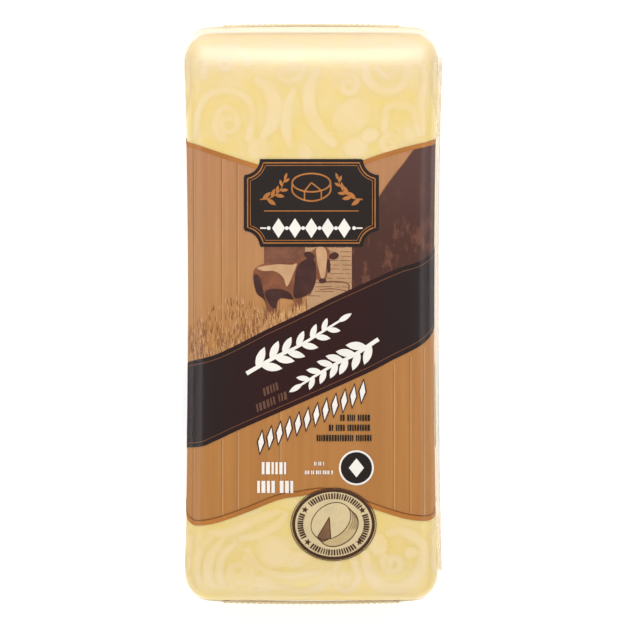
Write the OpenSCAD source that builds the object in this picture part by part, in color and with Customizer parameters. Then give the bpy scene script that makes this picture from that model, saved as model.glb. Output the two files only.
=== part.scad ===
// Block of cheddar sealed in tight clear film, lying on its back.
// X is its width, Y its length with the head end at +Y, and Z its thickness with the front up.
// The origin is in the middle of the resting face. The film is drawn tight over the cut block:
// it pulls the long sides in at the waist and rounds every edge. It is welded shut in a folded
// seam on each end face and in one narrow seam along the right side.

/* [Pack] */
// Length from one folded end seam to the other
pack_length = 152; // [120:1:200]
// Width at the waist, without the side seam
waist_width = 65.1; // [50:0.1:90]
// Thickness, from the resting face to the middle of the front
pack_thickness = 22; // [16:0.5:35]
// How much wider the head end is than the waist
head_flare = 2.6; // [0:0.1:6]
// How much wider the foot end is than the waist
foot_flare = 2.2; // [0:0.1:6]

/* [Tight film] */
// How far the front swells above its long edges
front_crown = 1; // [0.1:0.1:3]
// How far the long sides swell out
side_swell = 0.4; // [0.1:0.1:2]
// How far the end faces swell out
end_swell = 0.5; // [0.1:0.1:2]
// Radius of the four corners, seen from the front
corner_radius = 7; // [4:0.5:12]
// Distance from each end face over which the front rounds down
shoulder_run = 12; // [4:0.5:20]
// How far the front rounds down to the end faces
shoulder_drop = 6; // [2:0.5:7]
// Distance from each end face over which the resting face rounds up
heel_run = 5; // [2:0.5:12]
// How far the resting face rounds up to the end faces
heel_rise = 3.5; // [1:0.5:5]
// Radius of the long edges of the front
front_edge_radius = 5; // [1.5:0.5:6]
// Radius of the long edges of the resting face
back_edge_radius = 3; // [1:0.5:5]
// Share of the edge radii that is left on the end faces
end_edge_share = 0.55; // [0.3:0.05:1]

/* [Seams] */
// How far the side seam stands out from the side
side_seam_width = 0.7; // [0.3:0.1:3]
// Thickness of the welded film in the side seam
side_seam_thickness = 0.5; // [0.3:0.1:1.5]
// Height of the side seam above the resting face
side_seam_height = 12.5; // [8:0.5:14]
// Distance from each end of the pack to the side seam
side_seam_margin = 9; // [5:1:30]
// Width of each folded end seam
end_seam_width = 46; // [20:1:50]
// Length of the flap that is folded down over the end face
end_seam_flap = 5.5; // [2:0.5:7]
// Thickness of the folded flap
end_seam_thickness = 0.6; // [0.3:0.1:1.5]
// Distance from the front down to the fold
end_seam_depth = 8; // [7:0.5:9]

/* [Hidden] */

ARC_STEPS = 5;              // facets round each edge of a cross-section
CROWN_STEPS = 10;           // facets across the crowned front
SWELL_STEPS = 4;            // facets up each swelling side
ROUND_STEPS = 10;           // rings round each end of the pack
WAIST_STEPS = 20;           // rings between the rounded ends
CAP_SCALES = [0.7, 0.35];   // size of the rings on a swelling end face
SEAM_ROOT = 1.5;            // how deep a seam is rooted in the pack
SLICE = 0.1;                // thickness of the slices that the side seam is hulled from

body_half_length = pack_length / 2 - end_seam_thickness - end_swell;
rounded_run = max(corner_radius, shoulder_run, heel_run);
straight_half = body_half_length - rounded_run;
edge_thickness = pack_thickness - front_crown;
end_seam_height = pack_thickness - end_seam_depth;

// Half the pack's width at a distance y from the waist: the flare grows with its square.
function half_width(y) =
    (waist_width + (y > 0 ? head_flare : foot_flare) * pow(y / body_half_length, 2)) / 2;

// How far a face has rounded away at y, over a quarter ellipse that ends on the end face.
function round_off(y, run, depth) =
    let (t = min(1, max(0, (abs(y) - body_half_length + run) / run)))
    depth * (1 - sqrt(1 - t * t));

function arc(x, z, radius, start) = [
    for (i = [0 : ARC_STEPS])
        let (angle = start + 90 * i / ARC_STEPS)
        [x + radius * cos(angle), z + radius * sin(angle)]
];

// Points along one swelling side, between its two edges; side is 1 at the right, -1 at the left.
function swelling_side(half, low, high, swell, side) = [
    for (i = [1 : SWELL_STEPS - 1])
        let (u = side * (2 * i / SWELL_STEPS - 1))
        [side * (half + swell * (1 - u * u)), (low + high) / 2 + u * (high - low) / 2]
];

// Points across the front, from its right edge to its left edge.
function crowned_front(half, height, crown) = [
    for (i = [1 : CROWN_STEPS - 1])
        let (u = 1 - 2 * i / CROWN_STEPS)
        [u * half, height + crown * (1 - u * u)]
];

function cross_section(y) =
    let (
        half = half_width(y) - side_swell - round_off(y, corner_radius, corner_radius),
        low = round_off(y, heel_run, heel_rise),
        high = edge_thickness - round_off(y, shoulder_run, shoulder_drop),
        flatness = round_off(y, shoulder_run, 1),
        share = 1 - (1 - end_edge_share) * flatness,
        front = front_edge_radius * share,
        back = back_edge_radius * share,
        swell = side_swell * (1 - flatness),
        crown = front_crown * (1 - flatness)
    )
    concat(
        swelling_side(half, low + back, high - front, swell, 1),
        arc(half - front, high - front, front, 0),
        crowned_front(half - front, high, crown),
        arc(front - half, high - front, front, 90),
        swelling_side(half, low + back, high - front, swell, -1),
        arc(back - half, low + back, back, 180),
        arc(half - back, low + back, back, 270)
    );

function ring(section, y) = [for (p = section) [p.x, y, p.y]];

// A ring on the swelling end face: the face's own outline, drawn in round its centre.
function cap_ring(end, scale) =
    let (centre = (heel_rise + edge_thickness - shoulder_drop) / 2)
    ring(
        [for (p = cross_section(end * body_half_length)) [p.x * scale, centre + (p.y - centre) * scale]],
        end * (body_half_length + end_swell * (1 - scale * scale))
    );

// Rings round one end, from the end face to the straight part.
function end_rings(end) = [
    for (i = [0 : ROUND_STEPS - 1])
        let (y = end * (straight_half + rounded_run * cos(90 * i / ROUND_STEPS)))
        ring(cross_section(y), y)
];

function waist_rings() = [
    for (i = [0 : WAIST_STEPS])
        let (y = straight_half * (2 * i / WAIST_STEPS - 1))
        ring(cross_section(y), y)
];

function reversed(list) = [for (i = [len(list) - 1 : -1 : 0]) list[i]];

function sum(list, i = 0) = i < len(list) ? list[i] + sum(list, i + 1) : [0, 0, 0];

// A closed skin over rings that all have the same number of points. Each end is a fan of
// triangles round the middle of its last ring.
module skin(rings) {
    sides = len(rings[0]);
    ring_points = [for (r = rings) each r];
    first_middle = len(ring_points);
    last_middle = first_middle + 1;
    last = first_middle - sides;
    polyhedron(
        points = concat(ring_points, [sum(rings[0]) / sides, sum(rings[len(rings) - 1]) / sides]),
        faces = [
            for (i = [0 : sides - 1])
                let (next = (i + 1) % sides)
                each concat(
                    [[first_middle, next, i], [last_middle, last + i, last + next]],
                    [for (low = [0 : sides : last - sides])
                        let (high = low + sides)
                        each [[low + i, low + next, high + next], [low + i, high + next, high + i]]]
                )
        ]
    );
}

module block_under_film() {
    foot_cap = [for (scale = reversed(CAP_SCALES)) cap_ring(-1, scale)];
    head_cap = [for (scale = CAP_SCALES) cap_ring(1, scale)];
    skin(concat(foot_cap, end_rings(-1), waist_rings(), reversed(end_rings(1)), head_cap));
}

// One slice of the side seam, from its root in the pack to its free edge.
module seam_slice(y) {
    translate([half_width(y) - SEAM_ROOT, y, side_seam_height])
        rotate([90, 0, 0])
            linear_extrude(SLICE)
                translate([0, -side_seam_thickness / 2])
                    square([SEAM_ROOT + side_seam_width, side_seam_thickness]);
}

// A thin fin along the right side that follows the waist.
module side_seam() {
    reach = pack_length / 2 - side_seam_margin;
    for (i = [1 : WAIST_STEPS])
        hull() {
            seam_slice(reach * (2 * (i - 1) / WAIST_STEPS - 1));
            seam_slice(reach * (2 * i / WAIST_STEPS - 1));
        }
}

// A pair of small balls on an end face, at the two ends of one edge of the folded flap.
module flap_edge(end, depth, height) {
    radius = end_seam_thickness / 2;
    for (tip = [-1, 1])
        translate([tip * (end_seam_width / 2 - radius), end * (pack_length / 2 - radius - depth), height])
            sphere(r = radius, $fn = 16);
}

// The welded end of the film, folded down flat over the end face.
module end_seam(end) {
    fold = end_seam_height - end_seam_thickness;
    hem = end_seam_height - end_seam_flap;
    hull() {
        flap_edge(end, SEAM_ROOT, end_seam_height);
        flap_edge(end, 0, fold);
        flap_edge(end, SEAM_ROOT, hem);
        flap_edge(end, 0, hem);
    }
}

module sealed_pack() {
    // The seam is on the right side only, so half its width is given back to keep the box centred.
    color("#f0d8a0")
        translate([-side_seam_width / 2, 0, 0]) {
            block_under_film();
            side_seam();
            for (end = [-1, 1])
                end_seam(end);
        }
}

sealed_pack();
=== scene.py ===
"""Looks of a bar of cheddar sealed in tight printed film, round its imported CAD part.

Sizes are in millimetres until a mesh is made. A place on the film is (s, v): s is the distance
round the pack from the middle of its front, positive to the right, and v is the distance along
it, positive towards the head end.
"""
import math
import random

import bpy
import numpy as np
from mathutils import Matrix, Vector
from mathutils.geometry import delaunay_2d_cdt


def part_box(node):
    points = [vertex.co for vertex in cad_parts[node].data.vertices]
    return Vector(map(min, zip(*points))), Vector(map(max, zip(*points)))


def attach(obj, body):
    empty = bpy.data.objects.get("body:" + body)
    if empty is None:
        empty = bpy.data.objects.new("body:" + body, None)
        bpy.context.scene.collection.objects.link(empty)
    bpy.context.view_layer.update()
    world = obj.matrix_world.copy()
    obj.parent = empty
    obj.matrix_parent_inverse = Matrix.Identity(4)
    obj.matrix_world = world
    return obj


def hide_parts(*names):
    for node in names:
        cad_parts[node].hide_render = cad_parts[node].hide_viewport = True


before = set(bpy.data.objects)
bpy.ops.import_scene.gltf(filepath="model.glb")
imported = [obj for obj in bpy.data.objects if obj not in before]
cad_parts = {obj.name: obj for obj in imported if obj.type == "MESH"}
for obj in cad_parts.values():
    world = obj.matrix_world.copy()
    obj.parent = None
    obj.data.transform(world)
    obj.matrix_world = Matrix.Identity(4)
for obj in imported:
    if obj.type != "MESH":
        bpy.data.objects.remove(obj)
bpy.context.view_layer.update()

MM = 0.001
BODY = "root"
pack_low, pack_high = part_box("sealed_pack")

# ---------------------------------------------------------------- the pack's form

PACK_LENGTH = (pack_high.y - pack_low.y) / MM
PACK_THICKNESS = (pack_high.z - pack_low.z) / MM
WAIST_WIDTH = 65.1
HEAD_FLARE = 2.6
FOOT_FLARE = 2.2
FRONT_CROWN = 1.0
SIDE_SWELL = 0.4
END_SWELL = 0.5
CORNER_RADIUS = 7.0
SHOULDER_RUN = 12.0
SHOULDER_DROP = 6.0
HEEL_RUN = 5.0
HEEL_RISE = 3.5
FRONT_EDGE_RADIUS = 5.0
BACK_EDGE_RADIUS = 3.0
END_EDGE_SHARE = 0.55
SIDE_SEAM_WIDTH = 0.7
SIDE_SEAM_HEIGHT = 12.5
SIDE_SEAM_MARGIN = 9.0
END_SEAM_WIDTH = 46.0
END_SEAM_FLAP = 5.5
END_SEAM_THICKNESS = 0.6
END_SEAM_HEIGHT = PACK_THICKNESS - 8.0

CENTRE_X = -SIDE_SEAM_WIDTH / 2
BODY_HALF_LENGTH = PACK_LENGTH / 2 - END_SEAM_THICKNESS - END_SWELL

# The print is drawn flat and shrinks a little as the film is drawn tight.
FILM_SHRINK = 0.988

# How far each layer lies under the outer face of the film, the nearest first.
LAYER = 0.02
MARKS_DEPTH = 2 * LAYER
PLAQUE_DEPTH = 3 * LAYER
PATCH_DEPTH = 4 * LAYER
BAND_DEPTH = 5 * LAYER
GRASS_DEPTH = 6 * LAYER
COW_DEPTH = 7 * LAYER
PICTURE_DEPTH = 8 * LAYER
BARN_DEPTH = 9 * LAYER
SHADE_DEPTH = 10 * LAYER
LIGHT_DEPTH = 11 * LAYER
LABEL_DEPTH = 12 * LAYER
CHEESE_DEPTH = 16 * LAYER
PRINT_THICKNESS = 0.015

# The scroll print lies against the cheese, so its depth is counted from there.
SCROLL_DEPTH = -4 * PRINT_THICKNESS
HALO_DEPTH = -2 * PRINT_THICKNESS

# The film is slack past the cheese at the head end.
HEAD_GAP = 1.3

# Print follows the film through points this close together.
GRID_STEP = 2.4
TURNING_STEP = 0.5
OUTLINE_STEP = 1.6
PRINT_START = -126.0
PRINT_STOP = 52.0
PRINT_REACH = 74.4
FRONT_EDGE_SPAN = (25, 37)
BACK_EDGE_SPAN = (44.5, 55.5)

# Smooth shading stops at edges sharper than this, in degrees.
SHARP_ANGLE = 40


class Skin:
    """A bar with rounded edges and ends, as a surface with s round it and v along it."""

    def __init__(self, inset=0.0, head_gap=0.0):
        self.inset = inset
        self.head_end = BODY_HALF_LENGTH - inset - head_gap
        self.foot_end = BODY_HALF_LENGTH - inset

    def end_of(self, v):
        return np.where(v > 0, self.head_end, self.foot_end)

    def round_off(self, v, run, depth):
        """How far a face has rounded away at v, over a quarter ellipse that ends on the end face."""
        t = np.clip((np.abs(v) - self.end_of(v) + run) / run, 0, 1)
        return depth * (1 - np.sqrt(1 - t * t))

    def half_width(self, v):
        flare = np.where(v > 0, HEAD_FLARE, FOOT_FLARE) * (v / BODY_HALF_LENGTH) ** 2
        return (WAIST_WIDTH + flare) / 2 - self.inset

    def arcs(self, v):
        """The arcs of half a cross-section, from the middle of the front to the middle of the back.

        Returns their lengths, their turns, and the height of the middle of the front.
        """
        flatness = self.round_off(v, SHOULDER_RUN, 1)
        share = 1 - (1 - END_EDGE_SHARE) * flatness
        front = FRONT_EDGE_RADIUS * share - self.inset
        back = BACK_EDGE_RADIUS * share - self.inset
        crown = FRONT_CROWN * (1 - flatness)
        swell = SIDE_SWELL * (1 - flatness)
        half = self.half_width(v) - SIDE_SWELL * flatness - self.round_off(v, CORNER_RADIUS, CORNER_RADIUS)
        low = self.inset + self.round_off(v, HEEL_RUN, HEEL_RISE)
        shoulder = self.round_off(v, SHOULDER_RUN, SHOULDER_DROP)
        top = PACK_THICKNESS - self.inset - FRONT_CROWN + crown - shoulder
        front_turn = np.zeros_like(v)
        side_turn = np.zeros_like(v)
        for _ in range(4):
            flat = half - swell - front * (np.cos(side_turn) - np.sin(front_turn))
            front_turn = 2 * np.arctan(crown / flat)
            rounding = front * (np.cos(front_turn) - np.sin(side_turn)) + back * (1 - np.sin(side_turn))
            side = top - low - crown - rounding
            side_turn = 2 * np.arctan(2 * swell / side)
        quarter = math.pi / 2
        turns = [
            front_turn,
            quarter - front_turn - side_turn,
            2 * side_turn,
            quarter - side_turn,
            np.zeros_like(v),
        ]
        back_half = half - swell - back * np.cos(side_turn)
        lengths = [
            chord_to_arc(flat, front_turn),
            front * turns[1],
            chord_to_arc(side, turns[2]),
            back * turns[3],
            back_half,
        ]
        return lengths, turns, top

    def girth(self, v):
        return 2 * sum(self.arcs(np.asarray(v, float))[0])

    def on_section(self, s, v):
        lengths, turns, top = self.arcs(v)
        half_girth = sum(lengths)
        place = (s + half_girth) % (2 * half_girth) - half_girth
        left = np.abs(place)
        x = np.zeros_like(left)
        z = top + 0 * left
        angle = np.zeros_like(left)
        for length, turn in zip(lengths, turns):
            run = np.minimum(left, length)
            half_turn = turn * run / length / 2
            chord = run * np.sinc(half_turn / math.pi)
            x = x + chord * np.cos(angle + half_turn)
            z = z - chord * np.sin(angle + half_turn)
            angle = angle + 2 * half_turn
            left = left - run
        return np.stack([CENTRE_X + np.sign(place) * x, v + 0 * left, z], axis=-1)

    def at(self, s, v, depth=0.0):
        """Points at (s, v), a depth under the surface along its normal."""
        s, v = np.broadcast_arrays(np.asarray(s, float), np.asarray(v, float))
        points = self.on_section(s, v)
        if np.any(depth):
            reach = 0.02
            inner = np.clip(v, 3 * reach - self.foot_end, self.head_end - 3 * reach)
            across = self.on_section(s + reach, inner) - self.on_section(s - reach, inner)
            along = self.on_section(s, inner + reach) - self.on_section(s, inner - reach)
            normal = np.cross(across, along)
            normal /= np.linalg.norm(normal, axis=-1, keepdims=True)
            points = points - normal * np.asarray(depth)[..., None]
        return points

    def columns(self, v, counts):
        """The places s of the points of one ring, with a number of steps on each arc."""
        lengths = self.arcs(np.asarray(float(v)))[0]
        places = [0.0]
        for length, count in zip(lengths, counts):
            start = places[-1]
            places += [start + length * (i + 1) / count for i in range(count)]
        return np.array([-p for p in reversed(places[1:-1])] + places)

    def rings(self, end_steps, waist_steps):
        """Places v of the rings: close together round both ends."""
        rise = [math.sin(math.pi / 2 * i / end_steps) for i in range(1, end_steps + 1)]
        foot_start = SHOULDER_RUN - self.foot_end
        head_start = self.head_end - SHOULDER_RUN
        foot = [foot_start - SHOULDER_RUN * r for r in reversed(rise)]
        head = [head_start + SHOULDER_RUN * r for r in rise]
        return foot + list(np.linspace(foot_start, head_start, waist_steps)) + head


def chord_to_arc(chord, turn):
    """Length of an arc that turns by so much over its chord."""
    return chord / np.sinc(turn / 2 / math.pi)


FILM = Skin()

# ---------------------------------------------------------------- meshes


def make_piece(name, points, faces, material):
    mesh = bpy.data.meshes.new(name)
    mesh.from_pydata((np.asarray(points) * MM).tolist(), [], faces)
    mesh.polygons.foreach_set("use_smooth", [True] * len(mesh.polygons))
    mesh.set_sharp_from_angle(angle=math.radians(SHARP_ANGLE))
    mesh.materials.append(material)
    mesh.update()
    piece = bpy.data.objects.new(name, mesh)
    bpy.context.scene.collection.objects.link(piece)
    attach(piece, BODY)
    return piece


def closed_bar(skin, swell, end_steps=22, waist_steps=64, counts=(16, 9, 8, 6, 8)):
    """Points and faces of a whole bar, with a swelling face at each end."""
    places = skin.rings(end_steps, waist_steps)
    rings = [skin.at(skin.columns(v, counts), v) for v in places]
    size = len(rings[0])
    for end in (0, -1):
        edge = rings[end]
        middle = (edge.min(0) + edge.max(0)) / 2
        caps = []
        for scale in (0.92, 0.8, 0.65, 0.48, 0.3, 0.13):
            ring = middle + (edge - middle) * scale
            ring[:, 1] += math.copysign(swell * (1 - scale * scale), middle[1])
            caps.append(ring)
        rings = list(reversed(caps)) + rings if end == 0 else rings + caps
    faces = []
    for row in range(len(rings) - 1):
        low = row * size
        for i in range(size):
            j = (i + 1) % size
            faces.append((low + i, low + j, low + size + j, low + size + i))
    points = np.concatenate(rings)
    last = (len(rings) - 1) * size
    hubs = np.array([rings[0].mean(0), rings[-1].mean(0)])
    foot_hub, head_hub = len(points), len(points) + 1
    faces += [(foot_hub, (i + 1) % size, i) for i in range(size)]
    faces += [(head_hub, last + i, last + (i + 1) % size) for i in range(size)]
    return np.concatenate([points, hubs]), faces


def grid_columns():
    """Places s for the inner points of all print, close together where the pack's edges turn."""
    girth = float(FILM.girth(0))
    places = [PRINT_START]
    while places[-1] < PRINT_STOP:
        folded = abs((places[-1] + girth / 2) % girth - girth / 2)
        turning = any(low < folded < high for low, high in (FRONT_EDGE_SPAN, BACK_EDGE_SPAN))
        places.append(places[-1] + (TURNING_STEP if turning else GRID_STEP))
    return places


GRID = [(s, v) for s in grid_columns() for v in np.arange(-PRINT_REACH, 75, GRID_STEP)]


def inner_points(outlines):
    """The points of the grid inside the outlines' box."""
    corners = np.concatenate(outlines)
    low, high = corners.min(0), corners.max(0)
    return [point for point in GRID if np.all(low < point) and np.all(point < high)]


def inside(points, outline):
    """Which points are inside the outline."""
    x, y = points.T
    within = np.zeros(len(points), bool)
    for (x0, y0), (x1, y1) in zip(outline, np.roll(outline, -1, axis=0)):
        if y0 != y1:
            crosses = (y0 > y) != (y1 > y)
            within ^= crosses & (x < x0 + (y - y0) * (x1 - x0) / (y1 - y0))
    return within


def covered(points, outlines):
    """Which points are inside any of the outlines."""
    found = np.zeros(len(points), bool)
    for outline in outlines:
        in_box = np.all((points > outline.min(0)) & (points < outline.max(0)), axis=1)
        near = np.flatnonzero(in_box & ~found)
        found[near] = inside(points[near], outline)
    return found


def divided(outline, step):
    """The same outline with points added wherever an edge is longer than a step."""
    points = []
    for start, end in zip(outline, np.roll(outline, -1, axis=0)):
        count = max(1, math.ceil(math.dist(start, end) / step))
        points += [start + (end - start) * i / count for i in range(count)]
    return np.array(points)


def print_piece(name, shapes, depth, material, filled=True, skin=FILM):
    """Flat shapes in (s, v) as thin closed flakes of print, a depth under a skin."""
    outlines = [divided(np.asarray(shape, float) * FILM_SHRINK, OUTLINE_STEP) for shape in shapes]
    corners, edges = [], []
    for outline in outlines:
        first, count = len(corners), len(outline)
        edges += [(first + i, first + (i + 1) % count) for i in range(count)]
        corners += [tuple(p) for p in outline]
    if filled:
        corners += inner_points(outlines)
    made = delaunay_2d_cdt([Vector(p) for p in corners], edges, [], 0, 1e-4)
    flat = np.array([point[:] for point in made[0]])
    triangles = np.array(made[2])
    kept = triangles[covered(flat[triangles].mean(1), outlines)]
    used, kept = np.unique(kept, return_inverse=True)
    kept = [tuple(t) for t in kept.reshape(-1, 3).tolist()]
    places = flat[used]
    size = len(places)
    upper = skin.at(places[:, 0], places[:, 1], depth)
    lower = skin.at(places[:, 0], places[:, 1], depth + PRINT_THICKNESS)
    sides = {(a, b) for t in kept for a, b in zip(t, t[1:] + t[:1])}
    rim = [(a, b) for a, b in sides if (b, a) not in sides]
    faces = kept + [tuple(size + i for i in reversed(t)) for t in kept]
    faces += [(b, a, size + a, size + b) for a, b in rim]
    return make_piece(name, np.concatenate([upper, lower]), faces, material)


# ---------------------------------------------------------------- flat shapes


def spread(points, step, closed=False):
    """The same line with points at most a step apart."""
    points = np.asarray(points, float)
    if closed:
        points = np.vstack([points, points[:1]])
    lengths = np.hypot(*np.diff(points, axis=0).T)
    distance = np.concatenate([[0], np.cumsum(lengths)])
    count = max(2, int(math.ceil(distance[-1] / step)) + 1)
    places = np.linspace(0, distance[-1], count)
    line = np.stack([np.interp(places, distance, points[:, k]) for k in (0, 1)], axis=-1)
    return line[:-1] if closed else line


def looped(line):
    """A closed outline as a line that ends where it starts."""
    return np.vstack([line, line[:1]])


def curve(points, step=0.7, closed=False):
    """A smooth line through the points."""
    points = np.asarray(points, float)
    if closed:
        ring = np.vstack([points[-1:], points, points[:2]])
    else:
        first = 2 * points[0] - points[1]
        last = 2 * points[-1] - points[-2]
        ring = np.vstack([first, points, last])
    line = []
    for before, start, end, after in zip(ring, ring[1:], ring[2:], ring[3:]):
        for t in np.linspace(0, 1, 12, endpoint=False):
            bend = (2 * before - 5 * start + 4 * end - after) * t * t
            twist = (3 * start - before - 3 * end + after) * t ** 3
            line.append((2 * start + (end - before) * t + bend + twist) / 2)
    if not closed:
        line.append(points[-1])
    return spread(line, step, closed)


def ribbon(line, width):
    """Quads along a line. The width is a number, or a function of the share of the way along."""
    line = np.asarray(line, float)
    share = np.linspace(0, 1, len(line))
    widths = np.array([width(t) if callable(width) else width for t in share])
    tangent = np.gradient(line, axis=0)
    tangent /= np.linalg.norm(tangent, axis=1, keepdims=True)
    side = np.stack([-tangent[:, 1], tangent[:, 0]], axis=-1) * widths[:, None] / 2
    left, right = line + side, line - side
    return [np.array([right[i], right[i + 1], left[i + 1], left[i]]) for i in range(len(line) - 1)]


def ellipse(middle, rx, ry, tilt=0.0, step=0.7):
    count = max(14, int(math.pi * (rx + ry) / step))
    turn = math.radians(tilt)
    points = []
    for i in range(count):
        a = 2 * math.pi * i / count
        x, y = rx * math.cos(a), ry * math.sin(a)
        points.append((x * math.cos(turn) - y * math.sin(turn), x * math.sin(turn) + y * math.cos(turn)))
    return np.array(points) + middle


def diamond(middle, width, height, tilt=0.0):
    corners = [(width / 2, 0), (0, height / 2), (-width / 2, 0), (0, -height / 2)]
    return turned(corners, tilt) + middle


def bar(middle, width, height, tilt=0.0, lean=0.0):
    """A bar that is tilted as a whole and leans like slanted type."""
    w, h, slip = width / 2, height / 2, lean * height / 2
    corners = [(-w - slip, -h), (w - slip, -h), (w + slip, h), (-w + slip, h)]
    return turned(corners, tilt) + middle


def turned(points, angle):
    """Points turned round the origin, by degrees."""
    a = math.radians(angle)
    return np.asarray(points, float) @ np.array([[math.cos(a), math.sin(a)], [-math.sin(a), math.cos(a)]])


def spiral(middle, radius, turns, start, hand=1, stretch=1.0, core=0.16):
    """A line that winds in from its radius to a core."""
    count = int(turns * 26)
    points = []
    for i in range(count + 1):
        t = i / count
        r = radius * (1 - (1 - core) * t)
        a = math.radians(start) + hand * 2 * math.pi * turns * t
        points.append((r * math.cos(a), r * math.sin(a) * stretch))
    return np.array(points) + middle


def swelling(width, thin=0.25):
    """Width of a pen stroke that is broad in its middle and thin at its ends."""
    return lambda t: width * (thin + (1 - thin) * math.sin(math.pi * t) ** 0.8)


def widened(width, more):
    """A stroke's width with a little more all along."""
    return lambda t: (width(t) if callable(width) else width) + more


def tapering(width, thin=0.2):
    """Width of a stroke that starts broad and runs out thin."""
    return lambda t: width * (1 - (1 - thin) * t)


# ---------------------------------------------------------------- materials


def linear(red, green, blue):
    """A display colour, 0 to 255, as scene-linear light."""
    def channel(value):
        value /= 255
        return value / 12.92 if value <= 0.04045 else ((value + 0.055) / 1.055) ** 2.4
    return (channel(red), channel(green), channel(blue), 1.0)


def scaled(colour, factor):
    return tuple(min(1.0, c * factor) for c in colour[:3]) + (1.0,)


class Value:
    """A node's output. Sums on it add Math nodes."""

    def __init__(self, recipe, socket):
        self.recipe = recipe
        self.socket = socket

    def sum(self, operation, *terms):
        return self.recipe.node("ShaderNodeMath", {"operation": operation}, dict(enumerate(terms)))

    def __add__(self, other):
        return self.sum("ADD", self, other)

    def __radd__(self, other):
        return self.sum("ADD", other, self)

    def __sub__(self, other):
        return self.sum("SUBTRACT", self, other)

    def __rsub__(self, other):
        return self.sum("SUBTRACT", other, self)

    def __mul__(self, other):
        return self.sum("MULTIPLY", self, other)

    def __rmul__(self, other):
        return self.sum("MULTIPLY", other, self)

    def __truediv__(self, other):
        return self.sum("DIVIDE", self, other)

    def __pow__(self, other):
        return self.sum("POWER", self, other)


class Recipe:
    """The node tree of one material, or of the world."""

    def __init__(self, name, world=False):
        self.owner = (bpy.data.worlds if world else bpy.data.materials).new(name)
        self.owner.use_nodes = True
        self.tree = self.owner.node_tree
        self.tree.nodes.clear()

    def node(self, kind, settings=None, inputs=None, output=0):
        """Adds a node: its settings first, then the values or links of its sockets."""
        made = self.tree.nodes.new(kind)
        for name, value in (settings or {}).items():
            if name == "stops":
                set_stops(made.color_ramp, value)
            else:
                setattr(made, name, value)
        for name, value in (inputs or {}).items():
            socket = find_socket(made.inputs, name)
            if isinstance(value, Value):
                self.tree.links.new(value.socket, socket)
            else:
                socket.default_value = value
        return Value(self, find_socket(made.outputs, output)) if made.outputs else None

    def place(self):
        """Where a point is on the piece, in metres."""
        return self.node("ShaderNodeTexCoord", output="Object")

    def noise(self, size, detail=2.0, roughness=0.5, stretch=(1, 1, 1)):
        """Soft noise whose features are about a size across, in millimetres."""
        spot = self.node(
            "ShaderNodeVectorMath", {"operation": "MULTIPLY"}, {0: self.place(), 1: stretch}
        )
        settings = {"noise_dimensions": "3D"}
        inputs = {"Vector": spot, "Scale": 1 / (size * MM), "Detail": detail, "Roughness": roughness}
        return self.node("ShaderNodeTexNoise", settings, inputs)

    def ramp(self, value, stops):
        """A colour ramp over a value."""
        return self.node("ShaderNodeValToRGB", {"stops": stops}, {"Fac": value})

    def mask(self, value, low, high):
        """0 under low, 1 over high, and smooth between them."""
        settings = {"interpolation_type": "SMOOTHSTEP"}
        return self.node("ShaderNodeMapRange", settings, {"Value": value, "From Min": low, "From Max": high})

    def blend(self, factor, first, second, how="MIX"):
        """The first colour, or the second where the factor is 1."""
        settings = {"data_type": "RGBA", "blend_type": how}
        inputs = {"Factor_Float": factor, "A_Color": first, "B_Color": second}
        return self.node("ShaderNodeMix", settings, inputs, "Result_Color")

    def axis(self, name):
        """One coordinate of a point on the piece, in millimetres."""
        parts = self.node("ShaderNodeSeparateXYZ", inputs={0: self.place()}, output=name)
        return parts / MM

    def bump(self, height, distance, strength=1.0):
        inputs = {"Height": height, "Distance": distance * MM, "Strength": strength}
        return self.node("ShaderNodeBump", inputs=inputs)

    def principled(self, **sockets):
        inputs = {name.replace("_", " "): value for name, value in sockets.items()}
        return self.node("ShaderNodeBsdfPrincipled", inputs=inputs)

    def surface(self, shader):
        self.node("ShaderNodeOutputMaterial", inputs={"Surface": shader})
        return self.owner


def find_socket(sockets, name):
    """A socket by its number, its identifier or its name."""
    if isinstance(name, int):
        return sockets[name]
    for socket in sockets:
        if socket.identifier == name:
            return socket
    return sockets[name]


def set_stops(ramp, stops):
    while len(ramp.elements) > 1:
        ramp.elements.remove(ramp.elements[-1])
    ramp.elements[0].position = stops[0][0]
    ramp.elements[0].color = stops[0][1]
    for position, colour in stops[1:]:
        ramp.elements.new(position).color = colour


def ink(name, colour, drift=0.08, size=6.0, roughness=0.55):
    """Printed colour: slightly uneven, as a press lays it down."""
    recipe = Recipe(name)
    uneven = recipe.noise(size, 3.0)
    fine = recipe.noise(0.5, 1.0)
    factor = recipe.mask(uneven * 0.8 + fine * 0.2, 0.3, 0.7)
    shade = recipe.blend(factor, scaled(colour, 1 - drift), scaled(colour, 1 + drift))
    sheen = roughness + (uneven - 0.5) * 0.2
    return recipe.surface(recipe.principled(Base_Color=shade, Roughness=sheen, Specular_IOR_Level=0.0))


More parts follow.
